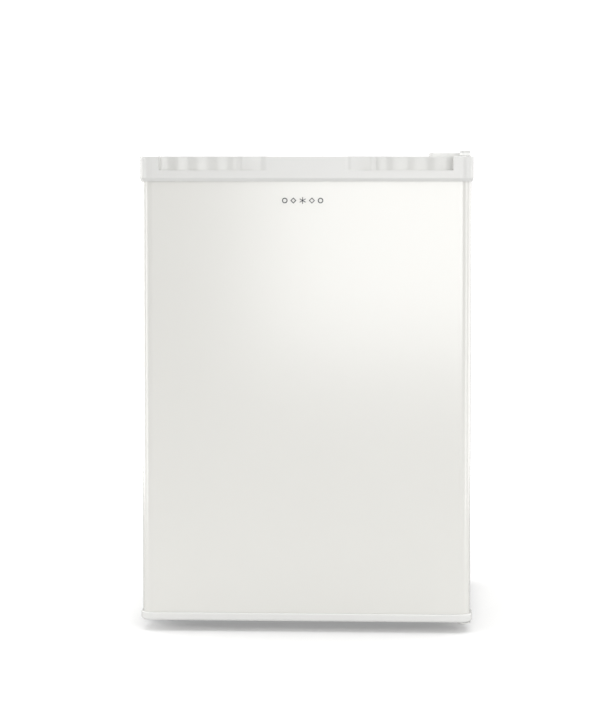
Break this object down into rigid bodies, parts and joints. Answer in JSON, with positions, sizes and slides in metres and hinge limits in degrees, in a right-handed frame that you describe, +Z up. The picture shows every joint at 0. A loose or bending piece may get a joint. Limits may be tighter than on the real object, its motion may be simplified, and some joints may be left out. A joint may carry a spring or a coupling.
{
  "type": "mini fridge",
  "caption": "Compact white single-door refrigerator with a freezer box, finger-grip door cap, shelves, door racks, compressor and rear condenser grid.",
  "frame": {"origin": "on the floor under the middle of the whole object", "axes": "+Z up; the door faces -Y and hangs at +X; the compressor is at +Y"},
  "size_m": [0.44, 0.46, 0.6366],
  "materials": {
    "cabinet_shell": "gloss",
    "back_panel": "galvanised",
    "base_pan": "galvanised",
    "engine_plate": "galvanised",
    "inner_liner": "satin",
    "cabinet_foam": "rigid foam",
    "foot_sockets": "zinc plated",
    "rear_feet": "moulded",
    "panel_screws": "zinc plated",
    "wall_spacers": "moulded",
    "top_hinge_bracket": "galvanised",
    "hinge_pins": "zinc plated",
    "hinge_screws": "zinc plated",
    "top_hinge_cover": "satin",
    "cabinet_top_plugs": "satin",
    "bottom_hinge_bracket": "white enamel",
    "evaporator_box": "satin",
    "evaporator_hangers": "moulded",
    "freezer_frame": "moulded",
    "thermostat_housing": "moulded",
    "thermostat_switch": "moulded",
    "sensor_tube": "copper",
    "compressor_mount": "black enamel",
    "compressor_grommets": "matte",
    "compressor_bolts": "zinc plated",
    "compressor_lower_shell": "black enamel",
    "compressor_upper_shell": "black enamel",
    "compressor_pump": "machined",
    "relay_cover": "moulded",
    "condenser_tube": "black enamel",
    "condenser_wires": "black enamel",
    "condenser_clips": "galvanised",
    "discharge_tube": "copper",
    "liquid_tube": "copper",
    "filter_drier": "copper",
    "capillary_tube": "copper",
    "suction_tube": "copper",
    "cord_clamp": "moulded",
    "door_skin": "gloss",
    "door_top_cap": "satin",
    "door_bottom_cap": "satin",
    "door_foam": "rigid foam",
    "door_liner": "satin",
    "door_gasket": "soft vinyl",
    "gasket_magnets": "ferrite strip",
    "hinge_bushes": "moulded",
    "door_plugs": "satin",
    "door_emblem": "printed foil",
    "freezer_flap": "translucent blue",
    "thermostat_knob": "moulded",
    "drip_tray": "clear",
    "lower_shelf_glass": "clear",
    "lower_shelf_trims": "moulded",
    "upper_shelf_glass": "clear",
    "upper_shelf_trims": "moulded",
    "bottle_rack": "clear",
    "middle_rack": "clear",
    "upper_rack": "clear",
    "front_left_foot": "moulded",
    "front_right_foot": "moulded"
  },
  "bodies": {
    "cabinet": {"cabinet_shell": "cabinet_shell", "back_panel": "back_panel", "base_pan": "base_pan", "engine_plate": "engine_plate", "inner_liner": "inner_liner", "cabinet_foam": "cabinet_foam", "foot_sockets": "foot_sockets", "rear_feet": "rear_feet", "panel_screws": "panel_screws", "wall_spacers": "wall_spacers", "top_hinge_bracket": "top_hinge_bracket", "hinge_pins": "hinge_pins", "hinge_screws": "hinge_screws", "top_hinge_cover": "top_hinge_cover", "cabinet_top_plugs": "cabinet_top_plugs", "bottom_hinge_bracket": "bottom_hinge_bracket", "evaporator_box": "evaporator_box", "evaporator_hangers": "evaporator_hangers", "freezer_frame": "freezer_frame", "thermostat_housing": "thermostat_housing", "thermostat_switch": "thermostat_switch", "sensor_tube": "sensor_tube", "compressor_mount": "compressor_mount", "compressor_grommets": "compressor_grommets", "compressor_bolts": "compressor_bolts", "compressor_lower_shell": "compressor_lower_shell", "compressor_upper_shell": "compressor_upper_shell", "compressor_pump": "compressor_pump", "relay_cover": "relay_cover", "condenser_tube": "condenser_tube", "condenser_wires": "condenser_wires", "condenser_clips": "condenser_clips", "discharge_tube": "discharge_tube", "liquid_tube": "liquid_tube", "filter_drier": "filter_drier", "capillary_tube": "capillary_tube", "suction_tube": "suction_tube", "cord_clamp": "cord_clamp"},
    "door": {"door_skin": "door_skin", "door_top_cap": "door_top_cap", "door_bottom_cap": "door_bottom_cap", "door_foam": "door_foam", "door_liner": "door_liner", "door_gasket": "door_gasket", "gasket_magnets": "gasket_magnets", "hinge_bushes": "hinge_bushes", "door_plugs": "door_plugs", "door_emblem": "door_emblem"},
    "freezer_flap": {"freezer_flap": "freezer_flap"},
    "thermostat_knob": {"thermostat_knob": "thermostat_knob"},
    "drip_tray": {"drip_tray": "drip_tray"},
    "lower_shelf": {"lower_shelf_glass": "lower_shelf_glass", "lower_shelf_trims": "lower_shelf_trims"},
    "upper_shelf": {"upper_shelf_glass": "upper_shelf_glass", "upper_shelf_trims": "upper_shelf_trims"},
    "bottle_rack": {"bottle_rack": "bottle_rack"},
    "middle_rack": {"middle_rack": "middle_rack"},
    "upper_rack": {"upper_rack": "upper_rack"},
    "front_left_foot": {"front_left_foot": "front_left_foot"},
    "front_right_foot": {"front_right_foot": "front_right_foot"}
  },
  "joints": [
    {"name": "door_hinge", "type": "hinge", "parent": "cabinet", "child": "door", "pos_m": [0.209, -0.208, 0.3], "axis": [0, 0, 1], "range_deg": [0, 135]},
    {"name": "freezer_flap_hinge", "type": "hinge", "parent": "cabinet", "child": "freezer_flap", "pos_m": [0, -0.045, 0.574], "axis": [-1, 0, 0], "range_deg": [0, 85]},
    {"name": "thermostat_turn", "type": "hinge", "parent": "cabinet", "child": "thermostat_knob", "pos_m": [0.164, -0.08, 0.378], "axis": [0, 1, 0], "range_deg": [0, 270]},
    {"name": "drip_tray_slide", "type": "slide", "parent": "cabinet", "child": "drip_tray", "axis": [0, -1, 0], "range_m": [0, 0.05]},
    {"name": "lower_shelf_slide", "type": "slide", "parent": "cabinet", "child": "lower_shelf", "axis": [0, -1, 0], "range_m": [0, 0.05]},
    {"name": "upper_shelf_slide", "type": "slide", "parent": "cabinet", "child": "upper_shelf", "axis": [0, -1, 0], "range_m": [0, 0.05]},
    {"name": "bottle_rack_lift", "type": "slide", "parent": "door", "child": "bottle_rack", "axis": [0, 0, 1], "range_m": [0, 0.02]},
    {"name": "middle_rack_lift", "type": "slide", "parent": "door", "child": "middle_rack", "axis": [0, 0, 1], "range_m": [0, 0.02]},
    {"name": "upper_rack_lift", "type": "slide", "parent": "door", "child": "upper_rack", "axis": [0, 0, 1], "range_m": [0, 0.02]},
    {"name": "front_left_foot_screw", "type": "slide", "parent": "cabinet", "child": "front_left_foot", "axis": [0, 0, -1], "range_m": [0, 0.012]},
    {"name": "front_right_foot_screw", "type": "slide", "parent": "cabinet", "child": "front_right_foot", "axis": [0, 0, -1], "range_m": [0, 0.012]}
  ]
}
